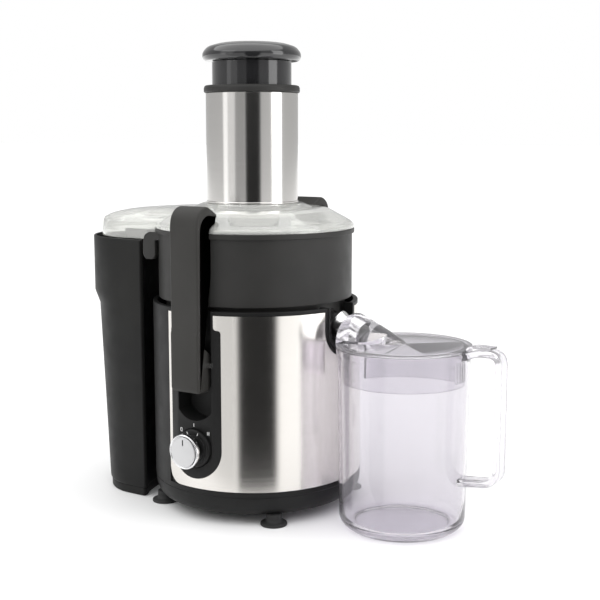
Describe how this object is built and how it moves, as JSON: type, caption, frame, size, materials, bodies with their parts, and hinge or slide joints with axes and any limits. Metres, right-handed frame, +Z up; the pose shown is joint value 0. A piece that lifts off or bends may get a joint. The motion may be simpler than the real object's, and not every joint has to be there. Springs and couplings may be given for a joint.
{
  "type": "centrifugal juicer",
  "caption": "Centrifugal juicer: round steel-wrapped motor base, clear lid with steel feed chute and pusher, locking arms, speed knob, pulp container and lidded juice jug.",
  "frame": {"origin": "centre of the bounding box's underside, on the worktop", "axes": "+Z up along the motor shaft, +X from the pulp container towards the juice jug, -Y out through the speed knob"},
  "size_m": [0.423, 0.2164, 0.4189],
  "materials": {
    "dark_plastic": "moulded, fine satin texture",
    "container_plastic": "moulded, matte",
    "black_plastic": "moulded",
    "black_rubber": "matte rubber",
    "gloss_black": "polished",
    "brushed_steel": "fine brushing round the axis",
    "polished_steel": "polished",
    "mesh_steel": "etched mesh",
    "motor_steel": "laminated steel",
    "knob_chrome": "bright",
    "knob_satin": "satin",
    "lid_clear": "clear, faint smoke tint",
    "jug_clear": "clear, faint lilac tint"
  },
  "bodies": {
    "base": {"motor_housing": "dark_plastic", "control_panel": "dark_plastic", "rear_panel": "dark_plastic", "spout_trim": "dark_plastic", "juice_bowl": "dark_plastic", "chute_rim": "dark_plastic", "bottom_cover": "black_plastic", "rotary_switch": "black_plastic", "front_arm_switch": "black_plastic", "rear_arm_switch": "black_plastic", "cord_gland": "black_plastic", "knob_bezel": "black_plastic", "foot_1": "black_rubber", "foot_2": "black_rubber", "foot_3": "black_rubber", "foot_4": "black_rubber", "motor_post_1": "black_rubber", "motor_post_2": "black_rubber", "motor_post_3": "black_rubber", "steel_wrap": "brushed_steel", "chute_sleeve": "brushed_steel", "spout_tube": "polished_steel", "front_arm_pin": "polished_steel", "rear_arm_pin": "polished_steel", "upper_bearing": "polished_steel", "lower_bearing": "polished_steel", "cover_screw_1": "polished_steel", "cover_screw_2": "polished_steel", "cover_screw_3": "polished_steel", "cover_screw_4": "polished_steel", "motor_stator": "motor_steel", "motor_top_bracket": "motor_steel", "motor_bottom_bracket": "motor_steel", "clear_lid": "lid_clear"},
    "pusher": {"pusher_body": "gloss_black", "pusher_cap": "gloss_black"},
    "front_arm": {"front_locking_arm": "dark_plastic"},
    "rear_arm": {"rear_locking_arm": "dark_plastic"},
    "knob": {"knob_body": "knob_chrome", "knob_face": "knob_satin"},
    "rotor": {"motor_shaft": "polished_steel", "rotor_core": "motor_steel", "cooling_fan": "black_plastic", "drive_coupling": "black_plastic", "filter_basket": "mesh_steel", "grater_disc": "mesh_steel"},
    "container": {"pulp_container": "container_plastic", "container_base": "container_plastic"},
    "jug": {"juice_jug": "jug_clear"},
    "jug_cover": {"jug_lid": "jug_clear"}
  },
  "joints": [
    {"name": "pusher_slide", "type": "slide", "parent": "base", "child": "pusher", "axis": [0, 0, 1], "range_m": [-0.0212, 0.15]},
    {"name": "front_arm_hinge", "type": "hinge", "parent": "base", "child": "front_arm", "pos_m": [-0.0355, -0.09125, 0.142], "axis": [1, 0, 0], "range_deg": [0, 28]},
    {"name": "rear_arm_hinge", "type": "hinge", "parent": "base", "child": "rear_arm", "pos_m": [-0.0355, 0.09475, 0.142], "axis": [-1, 0, 0], "range_deg": [0, 28]},
    {"name": "knob_turn", "type": "hinge", "parent": "base", "child": "knob", "pos_m": [-0.0355, -0.09225, 0.067], "axis": [0, -1, 0], "range_deg": [-45, 45]},
    {"name": "basket_spin", "type": "hinge", "parent": "base", "child": "rotor", "pos_m": [-0.0355, 0.00175, 0.18], "axis": [0, 0, 1], "continuous": true},
    {"name": "container_slide", "type": "slide", "parent": "base", "child": "container", "axis": [-1, 0, 0], "range_m": [0, 0.15]},
    {"name": "jug_slide", "type": "slide", "parent": "base", "child": "jug", "axis": [1, 0, 0], "range_m": [0, 0.15]},
    {"name": "jug_lid_lift", "type": "slide", "parent": "jug", "child": "jug_cover", "axis": [0, 0, 1], "range_m": [0, 0.06]}
  ]
}
